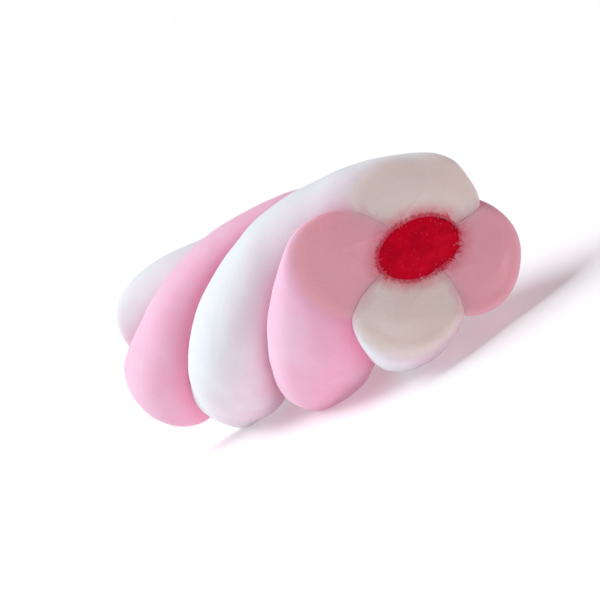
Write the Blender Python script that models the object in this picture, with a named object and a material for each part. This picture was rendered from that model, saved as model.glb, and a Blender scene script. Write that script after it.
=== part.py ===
# A filled marshmallow twist, in metres, lying on its side with +Z up.
#
# Two white and two pink strands of marshmallow are wound left-handed round a red
# fruit jelly core, and the rope is cut off on the slant at both ends. The axis of
# the twist runs along X, with the near cut facing +X. Bearings are angles in the
# near cut, from +Y towards +Z.

import math
from collections import namedtuple

import bmesh
import bpy
from mathutils import Vector

OBJECT_NAME = "marshmallow_twist"

# The rope
WIDTH = 0.0276                  # across the lobes at the middle of the twist
LENGTH = 0.057                  # along the axis, from cut to cut
PITCH = 0.084                   # length in which a strand goes once round
END_WIDTH = 0.945               # width at the cuts as a part of WIDTH
SETTLE = 0.0010                 # how far the foam gives where it lies on the table
UNEVENNESS = 0.018              # swell of a strand along its length, as a part of its reach
SWELL_LENGTH = 0.030            # length of one such swell

# The cuts
CUT_SLANT = 0.46                # lean of both cuts, as a tangent
SLANT_BEARING = -36.0           # the side that the near cut leans out on
RIM = 0.0022                    # rounding of a lobe's outer edge at a cut
PILLOW = 0.0006                 # rise of each strand's end above the cut

# The jelly core, which runs beside the axis of the twist
CORE_WIDE = 0.0116
CORE_THICK = 0.0076
CORE_BEARING = -13.0            # of its wide way
CORE_OFFSET = 0.0018            # from the axis of the twist
OFFSET_BEARING = 28.0
CORE_RISE = 0.0005

GAP = 0.0003                    # between neighbouring pieces

# The strands meet along four seams. A seam's depth is its distance from the core's middle,
# and its drag is how much further round the blade has pulled it at a cut.
Seam = namedtuple("Seam", "bearing depth drag")
SEAM_SIDE = Seam(-3.0, 0.0094, 0.0)
SEAM_TOP = Seam(97.0, 0.0084, 11.0)
SEAM_BACK = Seam(191.0, 0.0116, 0.0)
SEAM_UNDER = Seam(263.0, 0.0101, 0.0)
DRAG_LENGTH = 0.009             # how far in from a cut the pull dies away

# Bearing and reach are those of a strand's crown. A shape of 0.5 gives it square shoulders,
# and 1 a round lobe.
Strand = namedtuple("Strand", "node material bearing reach shape first last")
STRANDS = (
    Strand("white_strand_upper", "white_marshmallow", 46.0, 0.0124, 0.60, SEAM_SIDE, SEAM_TOP),
    Strand("pink_strand_back", "pink_marshmallow", 146.0, 0.0147, 0.70, SEAM_TOP, SEAM_BACK),
    Strand("white_strand_lower", "white_marshmallow", 221.0, 0.0150, 0.72, SEAM_BACK, SEAM_UNDER),
    Strand("pink_strand_front", "pink_marshmallow", 310.0, 0.0135, 0.70, SEAM_UNDER, SEAM_SIDE),
)

# Rounding at a cut, as a part of RIM, on each side of a strand and on the core
OUTER_SOFT = 1.0
SEAM_SOFT = 0.5
INNER_SOFT = 0.2

# How finely the pieces are faceted
OUTER_POINTS = 13
WALL_POINTS = 2
INNER_POINTS = 6
CORE_POINTS = 20
RIM_STEPS = 3
BODY_STEPS = 28
CAP_SCALES = (0.28, 0.66)

MATERIALS = {
    "white_marshmallow": {"color": (0.88, 0.86, 0.85), "roughness": 0.75},
    "pink_marshmallow": {"color": (0.88, 0.42, 0.56), "roughness": 0.75},
    "fruit_jelly": {"color": (0.60, 0.01, 0.03), "roughness": 0.35},
}

AXIS_HEIGHT = WIDTH / 2 - SETTLE

SectionPoint = namedtuple("SectionPoint", "place softness")
Station = namedtuple("Station", "depth edge_angle scale rise")


def polar(bearing, radius):
    return Vector((math.cos(bearing), math.sin(bearing))) * radius


def core_radius(bearing, margin=0.0):
    """Distance from the core's middle to its surface, or to a line that far outside it."""
    turned = bearing - math.radians(CORE_BEARING)
    wide = CORE_WIDE / 2 + margin
    thick = CORE_THICK / 2 + margin
    return wide * thick / math.hypot(thick * math.cos(turned), wide * math.sin(turned))


def seam_bearing(seam, depth):
    from_cut = min(depth, LENGTH - depth)
    return math.radians(seam.bearing + seam.drag * math.exp(-((from_cut / DRAG_LENGTH) ** 2)))


def swell_at(strand, depth):
    turn = math.tau * depth / SWELL_LENGTH
    return 1.0 + UNEVENNESS * math.sin(turn + 2.0 * STRANDS.index(strand))


def strand_section(strand, depth):
    """The outline of a strand, about the core's middle: lobe, seam, hollow for the core, seam."""
    swell = swell_at(strand, depth)
    middle = math.radians(strand.bearing)
    first = seam_bearing(strand.first, depth)
    last = seam_bearing(strand.last, depth)
    if last < middle:
        last += math.tau

    def across(part, radius):
        # The bearing of a point that lies this part of the way from the middle to a seam.
        half = last - middle if part > 0 else middle - first
        return middle + part * (half - math.asin(GAP / 2 / radius))

    def lobe_radius(part):
        seam = strand.last if part > 0 else strand.first
        crown = max(0.0, 1.0 - part * part) ** strand.shape
        return seam.depth + (strand.reach * swell - seam.depth) * crown

    def inner_radius(part):
        return core_radius(across(part, CORE_THICK / 2), GAP)

    section = []
    for index in range(OUTER_POINTS):
        part = math.sin(math.pi * (index / (OUTER_POINTS - 1) - 0.5))
        radius = lobe_radius(part)
        softness = SEAM_SOFT + (OUTER_SOFT - SEAM_SOFT) * math.sqrt(1.0 - part * part)
        section.append(SectionPoint(polar(across(part, radius), radius), softness))

    def add_wall(side, outwards):
        depth = lobe_radius(side)
        inner = inner_radius(side)
        for index in range(1, WALL_POINTS + 1):
            share = index / (WALL_POINTS + 1)
            share = share if outwards else 1.0 - share
            radius = inner + (depth - inner) * share
            softness = INNER_SOFT + (SEAM_SOFT - INNER_SOFT) * share
            section.append(SectionPoint(polar(across(side, radius), radius), softness))

    add_wall(1.0, outwards=False)
    for index in range(INNER_POINTS):
        part = 1.0 - 2.0 * index / (INNER_POINTS - 1)
        radius = inner_radius(part)
        section.append(SectionPoint(polar(across(part, radius), radius), INNER_SOFT))
    add_wall(-1.0, outwards=True)
    return section


def strand_heart(strand):
    """The point of a strand's section that its rounded edges draw in towards."""
    middle = math.radians(strand.bearing)
    return polar(middle, (core_radius(middle) + strand.reach) / 2)


def core_section():
    section = []
    for index in range(CORE_POINTS):
        bearing = math.tau * index / CORE_POINTS
        section.append(SectionPoint(polar(bearing, core_radius(bearing)), INNER_SOFT))
    return section


def stations(rise):
    """From the middle of the near cut, over its edge, along the rope and round to the far cut."""
    cap = []
    for scale in CAP_SCALES:
        cap.append(Station(0.0, math.pi / 2, scale, rise * (1.0 - scale * scale)))
    for index in range(RIM_STEPS + 1):
        edge_angle = math.pi / 2 * (1.0 - index / RIM_STEPS)
        cap.append(Station(0.0, edge_angle, 1.0, 0.0))
    body = []
    body_start = RIM * 1.6
    for index in range(BODY_STEPS + 1):
        depth = body_start + (LENGTH - 2 * body_start) * index / BODY_STEPS
        body.append(Station(depth, None, 1.0, 0.0))
    far = [station._replace(depth=LENGTH) for station in reversed(cap)]
    return cap + body + far


def place_on_rope(point, heart, station):
    """Turns, slants and settles one point of a section into its place on the rope."""
    place = point.place.copy()
    depth = station.depth
    if station.edge_angle is not None:
        rounding = RIM * point.softness
        inward = rounding * (1.0 - math.cos(station.edge_angle))
        towards_heart = heart - place
        place += towards_heart.normalized() * inward
        place = heart + (place - heart) * station.scale
        from_cut = rounding * (1.0 - math.sin(station.edge_angle)) - station.rise
        depth = from_cut if station.depth == 0.0 else LENGTH - from_cut

    from_middle = 1.0 - 2.0 * depth / LENGTH
    narrowing = 1.0 - (1.0 - END_WIDTH) * from_middle ** 2
    place = (place + polar(math.radians(OFFSET_BEARING), CORE_OFFSET)) * narrowing
    turn = math.tau * depth / PITCH
    y = place.x * math.cos(turn) - place.y * math.sin(turn)
    z = place.x * math.sin(turn) + place.y * math.cos(turn)

    lean = math.radians(SLANT_BEARING)
    lean_out = CUT_SLANT * (y * math.cos(lean) + z * math.sin(lean)) * from_middle ** 2
    x = LENGTH / 2 - depth + lean_out
    return Vector((x, y, max(z, -AXIS_HEIGHT)))


def wound_mesh(name, sides, section_at, heart, rise):
    """A cylinder with a ring of points at every station, shaped into a piece of the twist."""
    rings = stations(rise)
    shape = bmesh.new()
    bmesh.ops.create_cone(shape, cap_ends=True, segments=sides, radius1=1.0, radius2=1.0, depth=1.0)
    lengthwise = [edge for edge in shape.edges if abs(edge.verts[0].co.z - edge.verts[1].co.z) > 0.5]
    bmesh.ops.subdivide_edges(shape, edges=lengthwise, cuts=len(rings) - 2)

    sections = [section_at(ring.depth) for ring in rings]
    for vert in shape.verts:
        ring_index = round((vert.co.z + 0.5) * (len(rings) - 1))
        side_index = round(math.atan2(vert.co.y, vert.co.x) / math.tau * sides) % sides
        point = sections[ring_index][side_index]
        vert.co = place_on_rope(point, heart, rings[ring_index])
    bmesh.ops.reverse_faces(shape, faces=shape.faces)

    mesh = bpy.data.meshes.new(name)
    shape.to_mesh(mesh)
    shape.free()
    mesh.shade_smooth()
    mesh.set_sharp_from_angle(angle=math.radians(50))
    return mesh


def make_materials():
    made = {}
    for name, look in MATERIALS.items():
        material = bpy.data.materials.new(name)
        material.use_nodes = True
        shader = material.node_tree.nodes["Principled BSDF"]
        shader.inputs["Base Color"].default_value = (*look["color"], 1.0)
        shader.inputs["Roughness"].default_value = look["roughness"]
        shader.inputs["Metallic"].default_value = 0.0
        material.diffuse_color = (*look["color"], 1.0)
        made[name] = material
    return made


def add_piece(name, mesh, material, rope, collection):
    mesh.materials.append(material)
    piece = bpy.data.objects.new(name, mesh)
    piece.parent = rope
    collection.objects.link(piece)
    return piece


def middle_of(pieces):
    """The middle of the pieces' box along X and Y, about the axis of the twist."""
    corners = [vert.co for piece in pieces for vert in piece.data.vertices]
    xs = [corner.x for corner in corners]
    ys = [corner.y for corner in corners]
    return (min(xs) + max(xs)) / 2, (min(ys) + max(ys)) / 2


def build():
    for old in list(bpy.data.objects):
        bpy.data.objects.remove(old, do_unlink=True)
    collection = bpy.data.collections.new(OBJECT_NAME)
    bpy.context.scene.collection.children.link(collection)
    materials = make_materials()

    rope = bpy.data.objects.new("rope_axis", None)
    collection.objects.link(rope)

    pieces = []
    sides = OUTER_POINTS + INNER_POINTS + 2 * WALL_POINTS
    for strand in STRANDS:
        mesh = wound_mesh(
            strand.node,
            sides,
            lambda depth: strand_section(strand, depth),
            strand_heart(strand),
            PILLOW,
        )
        pieces.append(add_piece(strand.node, mesh, materials[strand.material], rope, collection))

    core = wound_mesh("jelly_core", CORE_POINTS, lambda depth: core_section(), Vector((0.0, 0.0)), CORE_RISE)
    pieces.append(add_piece("jelly_core", core, materials["fruit_jelly"], rope, collection))

    middle_x, middle_y = middle_of(pieces)
    rope.location = (-middle_x, -middle_y, AXIS_HEIGHT)


build()
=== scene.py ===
# A filled marshmallow twist: two white and two pink strands wound left-handed round a
# red fruit jelly core. It lies on its side, axis along X, with its near cut facing +X.
# Lengths are in metres and bearings in degrees, from +Y towards +Z in the near cut.

import math
import random

import bmesh
import bpy
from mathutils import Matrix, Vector


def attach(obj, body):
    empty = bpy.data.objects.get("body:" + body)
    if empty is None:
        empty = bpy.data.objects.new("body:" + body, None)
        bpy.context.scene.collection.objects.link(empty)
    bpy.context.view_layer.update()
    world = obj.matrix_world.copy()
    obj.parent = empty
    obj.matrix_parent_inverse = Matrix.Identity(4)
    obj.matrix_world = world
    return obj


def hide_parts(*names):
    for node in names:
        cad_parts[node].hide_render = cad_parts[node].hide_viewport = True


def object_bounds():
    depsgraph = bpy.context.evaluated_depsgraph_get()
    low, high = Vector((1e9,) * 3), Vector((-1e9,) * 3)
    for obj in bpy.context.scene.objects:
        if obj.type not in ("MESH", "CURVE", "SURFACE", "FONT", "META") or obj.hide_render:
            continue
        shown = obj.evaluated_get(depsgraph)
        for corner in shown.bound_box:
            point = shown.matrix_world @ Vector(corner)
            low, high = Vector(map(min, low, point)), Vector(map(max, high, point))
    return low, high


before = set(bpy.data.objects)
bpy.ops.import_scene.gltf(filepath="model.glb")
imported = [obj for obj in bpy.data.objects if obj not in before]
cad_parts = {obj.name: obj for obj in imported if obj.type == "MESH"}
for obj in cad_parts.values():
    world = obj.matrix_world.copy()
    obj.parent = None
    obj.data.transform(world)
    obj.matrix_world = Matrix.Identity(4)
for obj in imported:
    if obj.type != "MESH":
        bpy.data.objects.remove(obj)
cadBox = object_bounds()
print("frame loaded")

# The rope as a whole. The strands and the core share it.
rope = {
    "width": 0.0276,            # across the lobes at the middle
    "length": 0.0563,           # from cut to cut, without the domes of the ends
    "pitch": 0.084,             # length in which a strand goes once round
    "endWidth": 0.945,          # width at the cuts, as a part of the width
    "settle": 0.0010,           # how far the foam gives on the table
    "swell": 0.018,             # rise and fall of a strand along its length
    "swellLength": 0.030,
    "swellShift": 2.0,          # from one strand to the next, in radians
    "cutSlant": 0.46,           # lean of both cuts
    "slantBearing": -36.0,
    "rim": 0.0022,              # rounding of a lobe's edge at a cut
    "coreOffset": 0.0018,       # the core runs beside the axis
    "offsetBearing": 28.0,
    "dragLength": 0.009,        # how far in from a cut the blade's pull reaches
}

# The seams between strands: bearing, depth from the core's middle, pull of the blade, and
# curl, the turn that a seam takes by the time it reaches the core
seams = {
    "side": {"bearing": -3.0, "depth": 0.0094, "drag": 0.0, "curl": -4.0},
    "top": {"bearing": 97.0, "depth": 0.0084, "drag": 10.0, "curl": -6.0},
    "back": {"bearing": 191.0, "depth": 0.0116, "drag": 0.0, "curl": -11.0},
    "under": {"bearing": 263.0, "depth": 0.0101, "drag": 0.0, "curl": 13.0},
}


def polar(bearing, radius):
    return Vector((math.cos(bearing), math.sin(bearing))) * radius


def deselectAll():
    bpy.ops.object.select_all(action="DESELECT")


def pickOnly(piece):
    deselectAll()
    piece.select_set(True)
    bpy.context.view_layer.objects.active = piece


def pick(piece, kind, wanted):
    # selects the faces or edges of a piece in edit mode by a test on each
    bpy.ops.mesh.select_mode(type=kind)
    bpy.ops.mesh.select_all(action="DESELECT")
    shape = bmesh.from_edit_mesh(piece.data)
    for item in shape.faces if kind == "FACE" else shape.edges:
        item.select = wanted(item)
    shape.select_flush_mode()
    bmesh.update_edit_mesh(piece.data)


def addRod(name, sides, steps, capRings):
    # a cylinder of unit size, cut into rings along its side and on both ends
    deselectAll()
    bpy.ops.mesh.primitive_cylinder_add(vertices=sides, radius=1.0, depth=1.0, end_fill_type="NGON")
    rod = bpy.context.object
    rod.name = name
    rod.data.name = name
    bpy.ops.object.mode_set(mode="EDIT")
    pick(rod, "FACE", lambda face: abs(face.normal.z) > 0.9)
    for ring in range(capRings):
        bpy.ops.mesh.inset(thickness=1.0 / (capRings + 1))
    bpy.ops.mesh.poke()
    pick(rod, "EDGE", lambda edge: abs(edge.verts[0].co.z - edge.verts[1].co.z) > 0.5)
    bpy.ops.mesh.subdivide(number_cuts=steps - 1)
    bpy.ops.object.mode_set(mode="OBJECT")
    return rod


def applyModifiers(piece):
    pickOnly(piece)
    for modifier in list(piece.modifiers):
        bpy.ops.object.modifier_apply(modifier=modifier.name)


# The jelly core, and the hollow that the strands leave for it
core = {
    "wide": 0.0109,
    "thick": 0.0076,
    "bearing": -1.0,            # of its wide way
    "end": {"dome": 0.0004, "proud": 0.0, "fade": 0.009},
    "soft": 0.12,               # rounding of its edge, as a part of the rim
    "waves": ((3, 0.030, 3.93), (4, 0.032, 4.22), (7, 0.012, 2.1), (17, 0.012, 0.4), (29, 0.014, 1.7)),
    "sides": 116,
    "capRings": 9,
    "grainSize": 0.0008,
    "grainDepth": 0.00016,
}


def coreRadius(bearing, margin=0.0):
    turned = bearing - math.radians(core["bearing"])
    wide = core["wide"] / 2 + margin
    thick = core["thick"] / 2 + margin
    return wide * thick / math.hypot(thick * math.cos(turned), wide * math.sin(turned))


def seamBearing(seam, depth, radius):
    fromCut = min(depth, rope["length"] - depth)
    inner = core["thick"] / 2
    inwards = min(1.0, max(0.0, (seam["depth"] - radius) / (seam["depth"] - inner)))
    drag = seam["drag"] * math.exp(-((fromCut / rope["dragLength"]) ** 2))
    return math.radians(seam["bearing"] + drag + seam["curl"] * inwards)


# Rings along a rope: over the rounded edge of the near cut, along and over the far one
along = {
    "rimSteps": 5,
    "shoulderSteps": 3,
    "bodySteps": 84,
    "shoulder": 1.6,            # where the body starts, in roundings of the rim
}


def ropeSteps():
    return 2 * (along["rimSteps"] + along["shoulderSteps"]) + along["bodySteps"]


def ringAt(step, rounding):
    # depth behind the near cut and turn of the edge for one ring, at a rounding
    steps = ropeSteps()
    mirrored = step > steps / 2
    step = min(step, steps - step)
    shoulder = rope["rim"] * along["shoulder"]
    turn = 0.0
    if step <= along["rimSteps"]:
        turn = math.pi / 2 * (1.0 - step / along["rimSteps"])
        depth = rounding * (1.0 - math.sin(turn))
    elif step <= along["rimSteps"] + along["shoulderSteps"]:
        share = (step - along["rimSteps"]) / along["shoulderSteps"]
        depth = rounding + (shoulder - rounding) * share
    else:
        share = (step - along["rimSteps"] - along["shoulderSteps"]) / along["bodySteps"]
        depth = shoulder + (rope["length"] - 2 * shoulder) * share
    return (rope["length"] - depth if mirrored else depth), turn


def ontoRope(place, depth):
    # turns, slants and narrows a point of the section into its place on the rope
    fromMiddle = 1.0 - 2.0 * depth / rope["length"]
    narrowing = 1.0 - (1.0 - rope["endWidth"]) * fromMiddle ** 2
    place = (place + polar(math.radians(rope["offsetBearing"]), rope["coreOffset"])) * narrowing
    turn = math.tau * depth / rope["pitch"]
    y = place.x * math.cos(turn) - place.y * math.sin(turn)
    z = place.x * math.sin(turn) + place.y * math.cos(turn)
    lean = math.radians(rope["slantBearing"])
    leanOut = rope["cutSlant"] * (y * math.cos(lean) + z * math.sin(lean)) * fromMiddle ** 2
    return Vector((rope["length"] / 2 - depth + leanOut, y, z + rope["width"] / 2 - rope["settle"]))


def endLift(place, depth, scale, end):
    # how far a point stands out at a cut: a low dome, and a lean outwards where it is proud
    fromCut = min(depth, rope["length"] - depth)
    inner = core["thick"] / 2
    outwards = min(1.0, max(0.0, (place.length - inner) / (rope["width"] / 2 - inner)))
    lean = end["proud"] * outwards ** 2 * (3.0 - 2.0 * outwards)
    return end["dome"] * (1.0 - scale ** 2) ** 2 + lean * math.exp(-((fromCut / end["fade"]) ** 2))


def windRod(rod, sides, section, heart, end, facts):
    # moves every point of the unit rod onto the rope; facts gives what the materials read
    steps = ropeSteps()
    rod.data.attributes.new("bandMap", "FLOAT_VECTOR", "POINT")
    rod.data.attributes.new("cutShare", "FLOAT", "POINT")
    bandMap = rod.data.attributes["bandMap"].data
    cutShare = rod.data.attributes["cutShare"].data
    for index, vert in enumerate(rod.data.vertices):
        radius = math.hypot(vert.co.x, vert.co.y)
        side = math.atan2(vert.co.y, vert.co.x) / math.tau * sides
        step = round((vert.co.z + 0.5) * steps)
        scale = min(radius, 1.0)
        roughDepth = ringAt(step, rope["rim"])[0]
        place, softness = section(side, roughDepth)
        rounding = rope["rim"] * softness
        depth, turn = ringAt(step, rounding)
        inward = rounding * (1.0 - math.cos(turn))
        place = place + (heart - place).normalized() * inward
        place = heart + (place - heart) * scale
        lift = endLift(place, depth, scale, end)
        depth += lift if step > steps / 2 else -lift
        vert.co = ontoRope(place, depth)
        bandMap[index].vector = facts(place, depth)
        cutShare[index].value = math.sin(turn)
    pickOnly(rod)
    bpy.ops.object.mode_set(mode="EDIT")
    bpy.ops.mesh.select_all(action="SELECT")
    bpy.ops.mesh.flip_normals()
    bpy.ops.object.mode_set(mode="OBJECT")


# The strands. Bearing and reach are a strand's crown, shape its fullness, and cutShape that
# of its last side at a cut. Its end is a low dome that may stand proud of its neighbours.
# Corner is a squarer place on its lobe at a cut, and waist how much it thins behind it.
strands = {
    "white_strand_upper": {
        "slot": "white_marshmallow", "bearing": 46.0, "reach": 0.0124, "shape": 0.60,
        "first": "side", "last": "top", "dome": 0.0006, "proud": 0.0, "seamSoft": 0.28,
        "cutShape": 0.60, "corner": 29.0, "cornerOut": 0.0012, "waist": 0.050,
    },
    "pink_strand_back": {
        "slot": "pink_marshmallow", "bearing": 146.0, "reach": 0.0147, "shape": 0.70,
        "first": "top", "last": "back", "dome": 0.0006, "proud": 0.0, "seamSoft": 0.30,
        "cutShape": 0.82, "corner": 0.0, "cornerOut": 0.0, "waist": 0.0,
    },
    "white_strand_lower": {
        "slot": "white_marshmallow", "bearing": 218.0, "reach": 0.0150, "shape": 0.72,
        "first": "back", "last": "under", "dome": 0.0007, "proud": 0.0009, "seamSoft": 0.50,
        "cutShape": 1.15, "corner": 0.0, "cornerOut": 0.0, "waist": 0.0,
    },
    "pink_strand_front": {
        "slot": "pink_marshmallow", "bearing": 310.0, "reach": 0.0135, "shape": 0.70,
        "first": "under", "last": "side", "dome": 0.0006, "proud": 0.0, "seamSoft": 0.30,
        "cutShape": 0.70, "corner": 0.0, "cornerOut": 0.0, "waist": 0.0,
    },
}

# How a strand is meshed and how soft it is
strandShape = {
    "outerPoints": 61,
    "wallPoints": 7,
    "innerPoints": 15,
    "capRings": 8,
    "press": 0.00030,           # neighbours are pressed into each other by this
    "innerSoft": 0.03,
    "cornerWidth": 13.0,        # in degrees
    "cutLength": 0.009,         # how far in from a cut its own shape dies away
    "dentSize": 0.0085,
    "dentDepth": 0.00050,
    "creaseSize": 0.0026,
    "creaseDepth": 0.00006,
}


def strandSeams(strand, depth, radius):
    # bearings of a strand's two seams, on each side of its middle
    first = seamBearing(seams[strand["first"]], depth, radius)
    last = seamBearing(seams[strand["last"]], depth, radius)
    if last < math.radians(strand["bearing"]):
        last += math.tau
    return first, last


def strandSection(strand, order):
    # gives a function of side and depth that returns a place and a softness
    outer, wall, inner = (strandShape[key] for key in ("outerPoints", "wallPoints", "innerPoints"))
    middle = math.radians(strand["bearing"])
    shift = rope["swellShift"] * order

    def sectionAt(side, depth):
        swell = 1.0 + rope["swell"] * math.sin(math.tau * depth / rope["swellLength"] + shift)
        fromCut = min(depth, rope["length"] - depth) / strandShape["cutLength"]
        nearCut = math.exp(-fromCut ** 2)
        waist = 1.0 - strand["waist"] * fromCut ** 2 * math.exp(1.0 - fromCut ** 2)

        def across(part, radius):
            first, last = strandSeams(strand, depth, radius)
            half = last - middle if part > 0 else middle - first
            return middle + part * (half + math.asin(strandShape["press"] / 2 / radius))

        def lobe(part):
            seamDepth = seams[strand["last"] if part > 0 else strand["first"]]["depth"]
            cutShape = strand["cutShape"] if part > 0 else strand["shape"]
            shape = strand["shape"] + (cutShape - strand["shape"]) * nearCut
            crown = max(0.0, 1.0 - part * part) ** shape
            radius = seamDepth + (strand["reach"] * swell * waist - seamDepth) * crown
            fromCorner = (math.degrees(across(part, radius)) - strand["corner"]) / strandShape["cornerWidth"]
            return radius + strand["cornerOut"] * nearCut * math.exp(-fromCorner ** 2)

        def hollow(part):
            return coreRadius(across(part, core["thick"] / 2), -strandShape["press"])

        index = round(side) % (outer + inner + 2 * wall)
        seamSoft = strand["seamSoft"]
        innerSoft = strandShape["innerSoft"]
        if index < outer:
            part = math.sin(math.pi * (index / (outer - 1) - 0.5))
            radius = lobe(part)
            softness = seamSoft + (1.0 - seamSoft) * math.sqrt(1.0 - part * part)
        elif index < outer + wall or index >= outer + wall + inner:
            onLast = index < outer + wall
            part = 1.0 if onLast else -1.0
            count = index - outer + 1 if onLast else index - outer - wall - inner + 1
            share = count / (wall + 1)
            share = 1.0 - share if onLast else share
            radius = hollow(part) + (lobe(part) - hollow(part)) * share
            softness = innerSoft + (seamSoft - innerSoft) * share ** 3
        else:
            part = 1.0 - 2.0 * (index - outer - wall) / (inner - 1)
            radius = hollow(part)
            softness = innerSoft
        return polar(across(part, radius), radius), softness

    return sectionAt


def strandFacts(strand):
    # distances in mm from the first seam, from the last one and from the core
    middle = math.radians(strand["bearing"])

    def factsAt(place, depth):
        radius = place.length
        first, last = strandSeams(strand, depth, radius)
        bearing = middle + (math.atan2(place.y, place.x) - middle + math.pi) % math.tau - math.pi
        fromFirst = radius * math.sin(max(0.0, min(bearing - first, math.pi / 2))) * 1000
        fromLast = radius * math.sin(max(0.0, min(last - bearing, math.pi / 2))) * 1000
        return fromFirst, fromLast, (radius - coreRadius(bearing)) * 1000

    return factsAt


def addTexture(name, size):
    texture = bpy.data.textures.new(name, "CLOUDS")
    texture.noise_scale = size
    texture.noise_depth = 1
    return texture


softDents = addTexture("softDents", strandShape["dentSize"])
fineCreases = addTexture("fineCreases", strandShape["creaseSize"])


def dent(piece, texture, depth):
    modifier = piece.modifiers.new(texture.name, "DISPLACE")
    modifier.texture = texture
    modifier.texture_coords = "LOCAL"
    modifier.strength = depth
    modifier.mid_level = 0.5


def smoothOnce(piece):
    modifier = piece.modifiers.new("smooth", "SUBSURF")
    modifier.levels = 1
    modifier.render_levels = 1


def makeStrand(name, order):
    strand = strands[name]
    sides = strandShape["outerPoints"] + strandShape["innerPoints"] + 2 * strandShape["wallPoints"]
    piece = addRod("foam_" + name, sides, ropeSteps(), strandShape["capRings"])
    middle = math.radians(strand["bearing"])
    heart = polar(middle, (coreRadius(middle) + strand["reach"]) / 2)
    end = {"dome": strand["dome"], "proud": strand["proud"], "fade": strandShape["cutLength"]}
    windRod(piece, sides, strandSection(strand, order), heart, end, strandFacts(strand))
    smoothOnce(piece)
    dent(piece, softDents, strandShape["dentDepth"])
    dent(piece, fineCreases, strandShape["creaseDepth"])
    applyModifiers(piece)
    bpy.ops.object.shade_smooth()
    return piece


foamPieces = {}
for order, name in enumerate(strands):
    foamPieces[name] = makeStrand(name, order)
print("strands wound")


def coreOutline(bearing):
    waves = sum(size * math.sin(count * bearing + shift) for count, size, shift in core["waves"])
    return coreRadius(bearing) * (1.0 + waves)


def coreSection(side, depth):
    bearing = math.tau * side / core["sides"]
    return polar(bearing, coreOutline(bearing)), core["soft"]


def coreFacts(place, depth):
    # the last one is the distance in mm from the core's edge
    bearing = math.atan2(place.y, place.x)
    return place.x * 1000, place.y * 1000, (coreOutline(bearing) - place.length) * 1000


def makeCore():
    piece = addRod("jelly_rod", core["sides"], ropeSteps(), core["capRings"])
    windRod(piece, core["sides"], coreSection, Vector((0.0, 0.0)), core["end"], coreFacts)
    smoothOnce(piece)
    dent(piece, addTexture("jellyGrain", core["grainSize"]), core["grainDepth"])
    applyModifiers(piece)
    bpy.ops.object.shade_smooth()
    return piece


jellyPiece = makeCore()
print("core laid in")

# Strokes of jelly that the blade has dragged out of the core onto the cut foam
strokes = {
    "count": 90,                # places for one round each cut
    "length": (0.00028, 0.00055),
    "share": 0.35,              # how many places have one, away from where the blade left
    "width": (0.00009, 0.00015),
    "height": 0.00010,
    "tip": 0.4,                 # width of the tip, as a part of the root's
    "pinches": (0.5, 0.0, -0.5, -0.9),      # heights above which the unit drop is drawn in
    "scatter": 0.4,             # how far a stroke strays from its place, in places
    "inside": 0.00025,          # how far in from the core's edge a stroke starts
    "skew": 30.0,               # lean off the straight way out
    "dragBearing": -64.0,       # where the blade left the core, and the strokes are longest
    "dragLonger": 1.1,
    "dragFocus": 6,             # higher keeps the long ones closer together
    "seed": 11,
}


def makeDrop():
    # one stroke at unit size, its root at the origin and its tip along Z
    deselectAll()
    bpy.ops.mesh.primitive_uv_sphere_add(segments=8, ring_count=6, radius=1.0)
    drop = bpy.context.object
    bpy.ops.object.mode_set(mode="EDIT")
    pinch = strokes["tip"] ** (1.0 / len(strokes["pinches"]))
    for level in strokes["pinches"]:
        pick(drop, "FACE", lambda face: all(vert.co.z > level - 0.1 for vert in face.verts))
        bpy.ops.transform.resize(value=(pinch, pinch, 1.0))
    bpy.ops.mesh.select_all(action="SELECT")
    bpy.ops.transform.translate(value=(0.0, 0.0, 1.0))
    bpy.ops.transform.resize(value=(1.0, 1.0, 0.5), center_override=(0.0, 0.0, 0.0))
    bpy.ops.object.mode_set(mode="OBJECT")
    return drop


def draggedAt(bearing):
    return max(0.0, math.cos(bearing - math.radians(strokes["dragBearing"]))) ** strokes["dragFocus"]


def layStroke(drop, draw, bearing, farCut):
    # a copy of the drop, laid from the core's edge outwards
    stroke = drop.copy()
    stroke.data = drop.data.copy()
    bpy.context.scene.collection.objects.link(stroke)
    length = draw.uniform(*strokes["length"]) * (1.0 + strokes["dragLonger"] * draggedAt(bearing))
    width = draw.uniform(*strokes["width"])
    skew = math.radians(draw.uniform(-strokes["skew"], strokes["skew"]))
    root = polar(bearing, coreOutline(bearing) - strokes["inside"])
    outwards = polar(bearing + skew, 1.0)
    across = Vector((-outwards.y, outwards.x))
    for vert in stroke.data.vertices:
        place = root + outwards * length * vert.co.z + across * width * vert.co.x
        height = strokes["height"] * vert.co.y
        vert.co = ontoRope(place, rope["length"] - height if farCut else height)
    return stroke


def makeStrokes():
    draw = random.Random(strokes["seed"])
    drop = makeDrop()
    made = []
    for farCut in (False, True):
        for index in range(strokes["count"]):
            place = index + draw.uniform(-strokes["scatter"], strokes["scatter"])
            bearing = math.tau * place / strokes["count"]
            if draw.random() < strokes["share"] + draggedAt(bearing):
                made.append(layStroke(drop, draw, bearing, farCut))
    bpy.data.objects.remove(drop)
    deselectAll()
    for stroke in made:
        stroke.select_set(True)
    bpy.context.view_layer.objects.active = made[0]
    bpy.ops.object.join()
    piece = bpy.context.object
    piece.name = "jelly_strokes"
    piece.data.name = "jelly_strokes"
    bpy.ops.object.mode_set(mode="EDIT")
    bpy.ops.mesh.select_all(action="SELECT")
    bpy.ops.mesh.normals_make_consistent(inside=False)
    bpy.ops.object.mode_set(mode="OBJECT")
    bpy.ops.object.shade_smooth()
    return piece


strokePiece = makeStrokes()
print("strokes laid on")


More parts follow.
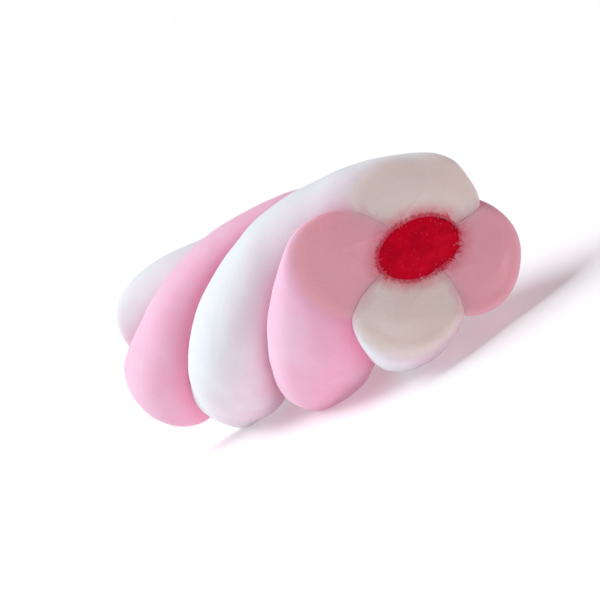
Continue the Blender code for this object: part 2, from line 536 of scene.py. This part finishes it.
def fitToFrame(measured, pieces):
    # centres the twist on the CAD box, keeps it inside and lets it lie flat on the table
    corners = [vert.co for piece in measured for vert in piece.data.vertices]
    for axis in range(3):
        low = min(corner[axis] for corner in corners)
        high = max(corner[axis] for corner in corners)
        room = cadBox[1][axis] - cadBox[0][axis]
        shrink = min(1.0, room / (high - low)) if axis < 2 else min(1.0, room / high)
        middle = (low + high) / 2 if axis < 2 else 0.0
        target = (cadBox[0][axis] + cadBox[1][axis]) / 2 if axis < 2 else 0.0
        for piece in pieces:
            for vert in piece.data.vertices:
                vert.co[axis] = target + (vert.co[axis] - middle) * shrink
    for piece in pieces:
        for vert in piece.data.vertices:
            vert.co.z = max(vert.co.z, 0.0)


fitToFrame(foamPieces.values(), [*foamPieces.values(), jellyPiece, strokePiece])


# Node helpers
def startMaterial(name):
    material = bpy.data.materials.new(name)
    material.use_nodes = True
    nodes = material.node_tree.nodes
    return nodes, material.node_tree.links, nodes["Principled BSDF"], material


def rangeNode(nodes, links, value, low, high, toLow=0.0, toHigh=1.0, smooth=True):
    node = nodes.new("ShaderNodeMapRange")
    node.interpolation_type = "SMOOTHSTEP" if smooth else "LINEAR"
    for socket, number in (("From Min", low), ("From Max", high), ("To Min", toLow), ("To Max", toHigh)):
        node.inputs[socket].default_value = number
    links.new(value, node.inputs["Value"])
    return node.outputs["Result"]


def mathNode(nodes, links, operation, first, second):
    node = nodes.new("ShaderNodeMath")
    node.operation = operation
    links.new(first, node.inputs[0])
    links.new(second, node.inputs[1])
    return node.outputs[0]


def mixColor(nodes, links, factor, first, second):
    node = nodes.new("ShaderNodeMix")
    node.data_type = "RGBA"
    links.new(factor, node.inputs[0])
    for socket, value in ((node.inputs[6], first), (node.inputs[7], second)):
        if isinstance(value, tuple):
            socket.default_value = (*value, 1.0)
        else:
            links.new(value, socket)
    return node.outputs[2]


def noiseNode(nodes, links, coordinates, scale, detail=2.0, roughness=0.5):
    node = nodes.new("ShaderNodeTexNoise")
    node.inputs["Scale"].default_value = scale
    node.inputs["Detail"].default_value = detail
    node.inputs["Roughness"].default_value = roughness
    links.new(coordinates, node.inputs["Vector"])
    return node.outputs["Fac"]


def bumpNode(nodes, links, height, distance, strength, under=None):
    node = nodes.new("ShaderNodeBump")
    node.inputs["Distance"].default_value = distance
    node.inputs["Strength"].default_value = strength
    links.new(height, node.inputs["Height"])
    if under is not None:
        links.new(under, node.inputs["Normal"])
    return node.outputs["Normal"]


def bandParts(nodes, links):
    band = nodes.new("ShaderNodeAttribute")
    band.attribute_name = "bandMap"
    parts = nodes.new("ShaderNodeSeparateXYZ")
    links.new(band.outputs["Vector"], parts.inputs[0])
    cut = nodes.new("ShaderNodeAttribute")
    cut.attribute_name = "cutShare"
    return [*parts.outputs, cut.outputs["Fac"]]


# The two foams. Lee is painted shade and painted pink bounce light on the side towards a
# strand's last seam, deep is painted shade in the creases, under is painted pink bounce light and shade
# low down, dust is the starch on the skin, cut is a cut face painted warmer and darker as warm shade, blush
# is the colour along its seams, and stain and juice have soaked in from the jelly.
foams = {
    "white_marshmallow": {
        "skin": (0.840, 0.885, 0.915), "paintedLeeShade": (0.830, 0.680, 0.760), "paintedCreaseShade": (0.850, 0.540, 0.650),
        "under": (0.775, 0.545, 0.665),
        "dust": (0.900, 0.910, 0.925), "cut": (0.890, 0.810, 0.772), "blush": (0.880, 0.600, 0.630),
        "stain": (0.840, 0.240, 0.310), "juice": (0.700, 0.040, 0.090),
        "scatterRadius": (1.0, 0.70, 0.66),
    },
    "pink_marshmallow": {
        "skin": (0.970, 0.560, 0.740), "paintedLeeShade": (0.890, 0.400, 0.570), "paintedCreaseShade": (0.860, 0.280, 0.430),
        "under": (0.820, 0.360, 0.510),
        "dust": (0.950, 0.640, 0.790), "cut": (0.945, 0.485, 0.572), "blush": (0.900, 0.540, 0.600),
        "stain": (0.840, 0.180, 0.270), "juice": (0.700, 0.030, 0.085),
        "scatterRadius": (1.0, 0.45, 0.52),
    },
}


# What the foams share. A reach is where a colour sets in and where it is full, in mm from
# a seam or the core. A share is how strong it gets, and a scale is that of a noise.
foamFinish = {
    "mottleScale": 210.0,
    # painted shade in the creases by the seams
    "creaseShadeReach": (2.8, 0.0),
    "creaseShadeShare": 0.80,
    # where the painted shade and pink bounce light towards the last seam sets in
    "leeShadeReach": (11.5, 1.5),
    "leeShadeShare": 0.85,
    # painted pink bounce light and shade low down
    "underShadeHeight": (0.014, 0.002),          # above the table
    "underShadeReach": (2.5, 9.5),
    "underShadeShare": 0.80,
    "crownReach": (0.5, 4.5),
    "crownShare": (0.05, 0.35),
    "waverScale": 700.0,
    "blushReach": (0.7, 1.9),               # least and most
    "blushShare": 0.85,
    "speckScale": 3200.0,
    "speckShare": 0.30,
    "soakScale": 1100.0,
    "stainReach": (2.2, 0.0),
    "stainShare": 0.80,
    "grainScale": 2600.0,
    "grainReach": (0.6, 0.0),
    "grainShare": 0.70,
    "raggedScale": 2000.0,
    "raggedReach": (-0.25, 0.50),           # how far the edge of the juice strays
    "seepReach": (0.38, -0.15),
    "seepShare": 0.75,
    "roughness": (0.66, 0.80),
    "scatter": 0.35,
    "scatterScale": 0.0022,
    "specular": 0.25,
    "sheen": 0.20,
    "sheenRoughness": 0.5,
    "pitScale": 1700.0,
    "pitDepth": 0.00005,
    "skinScale": 1300.0,
    "skinDepth": 0.00008,
    "reliefStrength": 0.5,
}


def foamMaterial(name, foam):
    nodes, links, shader, material = startMaterial(name)
    look = foamFinish
    place = nodes.new("ShaderNodeTexCoord").outputs["Object"]
    fromFirst, fromLast, fromCore, cut = bandParts(nodes, links)
    fromSeam = mathNode(nodes, links, "MINIMUM", fromFirst, fromLast)

    # skin: a little mottled, with painted shade and pink bounce light towards the last seam, low down and in
    # the creases, dusted on the crowns
    mottle = rangeNode(nodes, links, noiseNode(nodes, links, place, look["mottleScale"], 3.0), 0.35, 0.70)
    creaseShadeMask = rangeNode(nodes, links, fromSeam, *look["creaseShadeReach"], 0.0, look["creaseShadeShare"])
    # painted shade and painted pink bounce light: the side towards the last seam is made darker and pinker;
    # on the white foam partly a real pink tinge where the pink strand presses
    paintedLeeShade = rangeNode(nodes, links, fromLast, *look["leeShadeReach"], 0.0, look["leeShadeShare"])
    color = mixColor(nodes, links, paintedLeeShade, foam["skin"], foam["paintedLeeShade"])
    # painted pink bounce light and shade: low down, and away from the first seam where the light falls, the
    # foam is made darker and rosier
    height = nodes.new("ShaderNodeSeparateXYZ")
    links.new(place, height.inputs[0])
    under = rangeNode(nodes, links, height.outputs["Z"], *look["underShadeHeight"], 0.0, look["underShadeShare"])
    awayFromFirst = rangeNode(nodes, links, fromFirst, *look["underShadeReach"], 0.05, 1.0)
    under = mathNode(nodes, links, "MULTIPLY", under, awayFromFirst)
    color = mixColor(nodes, links, under, color, foam["under"])
    # painted shade: the creases by the seams are made darker, tinted pink as bounced light
    color = mixColor(nodes, links, creaseShadeMask, color, foam["paintedCreaseShade"])
    crown = rangeNode(nodes, links, fromSeam, *look["crownReach"], *look["crownShare"])
    color = mixColor(nodes, links, mathNode(nodes, links, "MULTIPLY", mottle, crown), color, foam["dust"])

    # cut face, painted warmer and a little darker than the skin as warm shade, with the neighbour's colour
    # pressed in along its seams
    waver = noiseNode(nodes, links, place, look["waverScale"], 2.0)
    blushReach = rangeNode(nodes, links, waver, 0.3, 0.7, *look["blushReach"], smooth=False)
    blush = mathNode(nodes, links, "DIVIDE", fromSeam, blushReach)
    blush = rangeNode(nodes, links, blush, 1.0, 0.0, 0.0, look["blushShare"])
    cutFaceShadedColor = mixColor(nodes, links, blush, foam["cut"], foam["blush"])
    color = mixColor(nodes, links, rangeNode(nodes, links, cut, 0.2, 1.0), color, cutFaceShadedColor)

    # fine specks of starch
    specks = noiseNode(nodes, links, place, look["speckScale"], 2.0, 0.7)
    specks = rangeNode(nodes, links, specks, 0.60, 0.72, 0.0, look["speckShare"])
    color = mixColor(nodes, links, specks, color, foam["dust"])

    # juice round the core: a faint stain that fades out, with darker grains close to the core
    soak = noiseNode(nodes, links, place, look["soakScale"], 3.0, 0.6)
    soak = rangeNode(nodes, links, soak, 0.3, 0.65, 0.55, 1.0)
    stain = rangeNode(nodes, links, fromCore, *look["stainReach"], 0.0, look["stainShare"])
    stain = mathNode(nodes, links, "MULTIPLY", stain, soak)
    color = mixColor(nodes, links, mathNode(nodes, links, "MULTIPLY", stain, cut), color, foam["stain"])
    grains = noiseNode(nodes, links, place, look["grainScale"], 3.0, 0.6)
    grains = rangeNode(nodes, links, grains, 0.32, 0.62, 0.0, 0.5)
    closeBy = rangeNode(nodes, links, fromCore, *look["grainReach"], -0.5, 0.30, smooth=False)
    grains = mathNode(nodes, links, "ADD", grains, closeBy)
    grains = rangeNode(nodes, links, grains, 0.15, 0.75, 0.0, look["grainShare"])
    color = mixColor(nodes, links, mathNode(nodes, links, "MULTIPLY", grains, cut), color, foam["juice"])

    # and a ragged rim of juice right at the core
    ragged = noiseNode(nodes, links, place, look["raggedScale"], 3.0, 0.6)
    ragged = rangeNode(nodes, links, ragged, 0.35, 0.65, *look["raggedReach"], smooth=False)
    seep = mathNode(nodes, links, "ADD", fromCore, ragged)
    seep = rangeNode(nodes, links, seep, *look["seepReach"], 0.0, look["seepShare"])
    color = mixColor(nodes, links, seep, color, foam["juice"])
    links.new(color, shader.inputs["Base Color"])

    roughness = rangeNode(nodes, links, mottle, 0.0, 1.0, *look["roughness"], smooth=False)
    links.new(roughness, shader.inputs["Roughness"])
    shader.inputs["Subsurface Weight"].default_value = look["scatter"]
    shader.inputs["Subsurface Radius"].default_value = foam["scatterRadius"]
    shader.inputs["Subsurface Scale"].default_value = look["scatterScale"]
    shader.inputs["Specular IOR Level"].default_value = look["specular"]
    shader.inputs["Sheen Weight"].default_value = look["sheen"]
    shader.inputs["Sheen Roughness"].default_value = look["sheenRoughness"]

    # relief: foam bubbles at the cuts, a fine skin elsewhere
    bubbles = nodes.new("ShaderNodeTexVoronoi")
    bubbles.inputs["Scale"].default_value = look["pitScale"]
    links.new(place, bubbles.inputs["Vector"])
    pits = rangeNode(nodes, links, bubbles.outputs["Distance"], 0.0, 0.55)
    pits = mathNode(nodes, links, "MULTIPLY", pits, rangeNode(nodes, links, cut, 0.0, 1.0, 0.12, 1.0))
    skinRelief = noiseNode(nodes, links, place, look["skinScale"], 4.0, 0.6)
    normal = bumpNode(nodes, links, pits, look["pitDepth"], look["reliefStrength"])
    normal = bumpNode(nodes, links, skinRelief, look["skinDepth"], look["reliefStrength"], normal)
    links.new(normal, shader.inputs["Normal"])
    return material


jelly = {
    "flesh": (0.710, 0.000, 0.024),
    "dark": (0.460, 0.000, 0.018),
    "pale": (0.880, 0.010, 0.060),
    # pale pink of the painted glints, small highlights put into the colour
    "paintedGlint": (0.920, 0.330, 0.430),
    "thin": (0.800, 0.090, 0.190),          # where it is drawn out thin over the foam
    "grainScale": 1500.0,
    "cloudScale": 380.0,
    "glintScale": 3300.0,
    "patchScale": 900.0,
    "rimReach": (0.7, 0.0),                 # in mm from the core's edge
    "glintReach": (1.2, 0.2),
    "roughness": (0.42, 0.62),
    "strokeRoughness": 0.5,
    "specular": 0.06,
    "scatter": 0.25,
    "scatterRadius": (1.0, 0.08, 0.10),
    "scatterScale": 0.0010,
    "reliefDepth": 0.00012,
    "reliefStrength": 0.6,
}


def jellyMaterial():
    nodes, links, shader, material = startMaterial("fruit_jelly_core")
    place = nodes.new("ShaderNodeTexCoord").outputs["Object"]
    grain = noiseNode(nodes, links, place, jelly["grainScale"], 3.0, 0.6)
    fromEdge = bandParts(nodes, links)[2]

    # flesh with paler grains and darker clouds, and darker again in places along its edge
    pale = rangeNode(nodes, links, grain, 0.52, 0.80, 0.0, 0.5)
    color = mixColor(nodes, links, pale, jelly["flesh"], jelly["pale"])
    cloud = noiseNode(nodes, links, place, jelly["cloudScale"], 2.0)
    cloud = rangeNode(nodes, links, cloud, 0.42, 0.66, 0.0, 0.45)
    color = mixColor(nodes, links, cloud, color, jelly["dark"])
    rim = rangeNode(nodes, links, fromEdge, *jelly["rimReach"], 0.0, 0.8)
    broken = mathNode(nodes, links, "MULTIPLY", rim, rangeNode(nodes, links, grain, 0.35, 0.6))
    color = mixColor(nodes, links, broken, color, jelly["dark"])

    # painted glints: pale pink specks in the colour stand for small highlights, most of them near the edge
    paintedGlints = noiseNode(nodes, links, place, jelly["glintScale"], 1.0)
    paintedGlints = rangeNode(nodes, links, paintedGlints, 0.66, 0.74, 0.0, 0.8)
    nearEdge = rangeNode(nodes, links, fromEdge, *jelly["glintReach"], 0.10, 1.0)
    paintedGlints = mathNode(nodes, links, "MULTIPLY", paintedGlints, nearEdge)
    color = mixColor(nodes, links, paintedGlints, color, jelly["paintedGlint"])
    links.new(color, shader.inputs["Base Color"])

    links.new(rangeNode(nodes, links, grain, 0.3, 0.7, *jelly["roughness"]), shader.inputs["Roughness"])
    shader.inputs["Specular IOR Level"].default_value = jelly["specular"]
    shader.inputs["Subsurface Weight"].default_value = jelly["scatter"]
    shader.inputs["Subsurface Radius"].default_value = jelly["scatterRadius"]
    shader.inputs["Subsurface Scale"].default_value = jelly["scatterScale"]
    normal = bumpNode(nodes, links, grain, jelly["reliefDepth"], jelly["reliefStrength"])
    links.new(normal, shader.inputs["Normal"])
    return material


def strokeMaterial():
    nodes, links, shader, material = startMaterial("fruit_jelly_strokes")
    place = nodes.new("ShaderNodeTexCoord").outputs["Object"]
    patch = noiseNode(nodes, links, place, jelly["patchScale"], 2.0)
    thin = rangeNode(nodes, links, patch, 0.35, 0.65)
    links.new(mixColor(nodes, links, thin, jelly["flesh"], jelly["thin"]), shader.inputs["Base Color"])
    shader.inputs["Roughness"].default_value = jelly["strokeRoughness"]
    shader.inputs["Specular IOR Level"].default_value = jelly["specular"]
    return material


def dress(piece, material, node=None):
    piece.data.materials.clear()
    piece.data.materials.append(material)
    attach(piece, "root")
    if node:
        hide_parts(node)


foamMaterials = {slot: foamMaterial("foam_of_" + slot, foam) for slot, foam in foams.items()}
for name, piece in foamPieces.items():
    dress(piece, foamMaterials[strands[name]["slot"]], name)
dress(jellyPiece, jellyMaterial(), "jelly_core")
dress(strokePiece, strokeMaterial())
print("finishes on")

# The table, the light and the camera
studio = {
    "floorSize": 12.0,
    "floorColor": (0.86, 0.86, 0.86),
    "floorRoughness": 0.6,
    "floorSpecular": 0.2,
    "floorGlow": (1.0, 0.93, 0.95),
    "floorGlowStrength": 0.26,
    "keyColor": (0.92, 0.965, 1.0),
    "keyStrength": 3.0,
    "keyAngle": 45.0,
    "keyFrom": (-0.60, -0.42, 1.0),
    "fillColor": (1.0, 0.45, 0.35),
    "fillStrength": 0.60,
    "fillAngle": 40.0,
    "fillFrom": (1.0, 0.25, 0.10),
    "air": (0.97, 0.95, 1.0),
    "airStrength": 0.20,
    "backdrop": (1.0, 1.0, 1.0),
}


def addSun(name, color, strength, angle, comesFrom):
    light = bpy.data.lights.new(name, "SUN")
    light.color = color
    light.energy = strength
    light.angle = math.radians(angle)
    sun = bpy.data.objects.new(name, light)
    bpy.context.scene.collection.objects.link(sun)
    sun.rotation_euler = Vector(comesFrom).to_track_quat("Z", "Y").to_euler()


def addFloor():
    deselectAll()
    bpy.ops.mesh.primitive_plane_add(size=studio["floorSize"])
    floor = bpy.context.object
    floor.name = "floor"
    nodes, links, shader, material = startMaterial("pale_floor")
    shader.inputs["Base Color"].default_value = (*studio["floorColor"], 1.0)
    shader.inputs["Roughness"].default_value = studio["floorRoughness"]
    shader.inputs["Specular IOR Level"].default_value = studio["floorSpecular"]
    shader.inputs["Emission Color"].default_value = (*studio["floorGlow"], 1.0)
    shader.inputs["Emission Strength"].default_value = studio["floorGlowStrength"]
    floor.data.materials.append(material)


def addAir():
    # soft light from all round, and a plain white backdrop behind the table
    world = bpy.data.worlds.new("air")
    world.use_nodes = True
    nodes, links = world.node_tree.nodes, world.node_tree.links
    air = nodes["Background"]
    air.inputs["Color"].default_value = (*studio["air"], 1.0)
    air.inputs["Strength"].default_value = studio["airStrength"]
    backdrop = nodes.new("ShaderNodeBackground")
    backdrop.inputs["Color"].default_value = (*studio["backdrop"], 1.0)
    either = nodes.new("ShaderNodeMixShader")
    links.new(nodes.new("ShaderNodeLightPath").outputs["Is Camera Ray"], either.inputs[0])
    links.new(air.outputs[0], either.inputs[1])
    links.new(backdrop.outputs[0], either.inputs[2])
    links.new(either.outputs[0], nodes["World Output"].inputs["Surface"])
    bpy.context.scene.world = world


addFloor()
addSun("key", studio["keyColor"], studio["keyStrength"], studio["keyAngle"], studio["keyFrom"])
addSun("fill", studio["fillColor"], studio["fillStrength"], studio["fillAngle"], studio["fillFrom"])
addAir()
bpy.context.scene.view_settings.view_transform = "Standard"

viewpoint = {
    "bearing": -30.6,           # of the camera from +X
    "elevation": 8.15,
    "roll": 34.2,               # the picture is turned, as if the camera were held aslant
    "distance": 0.2905,
    "lens": 134.0,
    "clipStart": 0.01,
    "aim": (0.0015, 0.0, 0.0132),
}


def addCamera():
    camera = bpy.data.cameras.new("camera")
    camera.lens = viewpoint["lens"]
    camera.clip_start = viewpoint["clipStart"]
    holder = bpy.data.objects.new("camera", camera)
    bpy.context.scene.collection.objects.link(holder)
    bearing = math.radians(viewpoint["bearing"])
    elevation = math.radians(viewpoint["elevation"])
    level = math.cos(elevation)
    away = Vector((math.cos(bearing) * level, math.sin(bearing) * level, math.sin(elevation)))
    holder.location = Vector(viewpoint["aim"]) + away * viewpoint["distance"]
    holder.rotation_euler = away.to_track_quat("Z", "Y").to_euler()
    holder.rotation_euler.rotate_axis("Z", math.radians(-viewpoint["roll"]))
    bpy.context.scene.camera = holder


addCamera()
print("studio set")
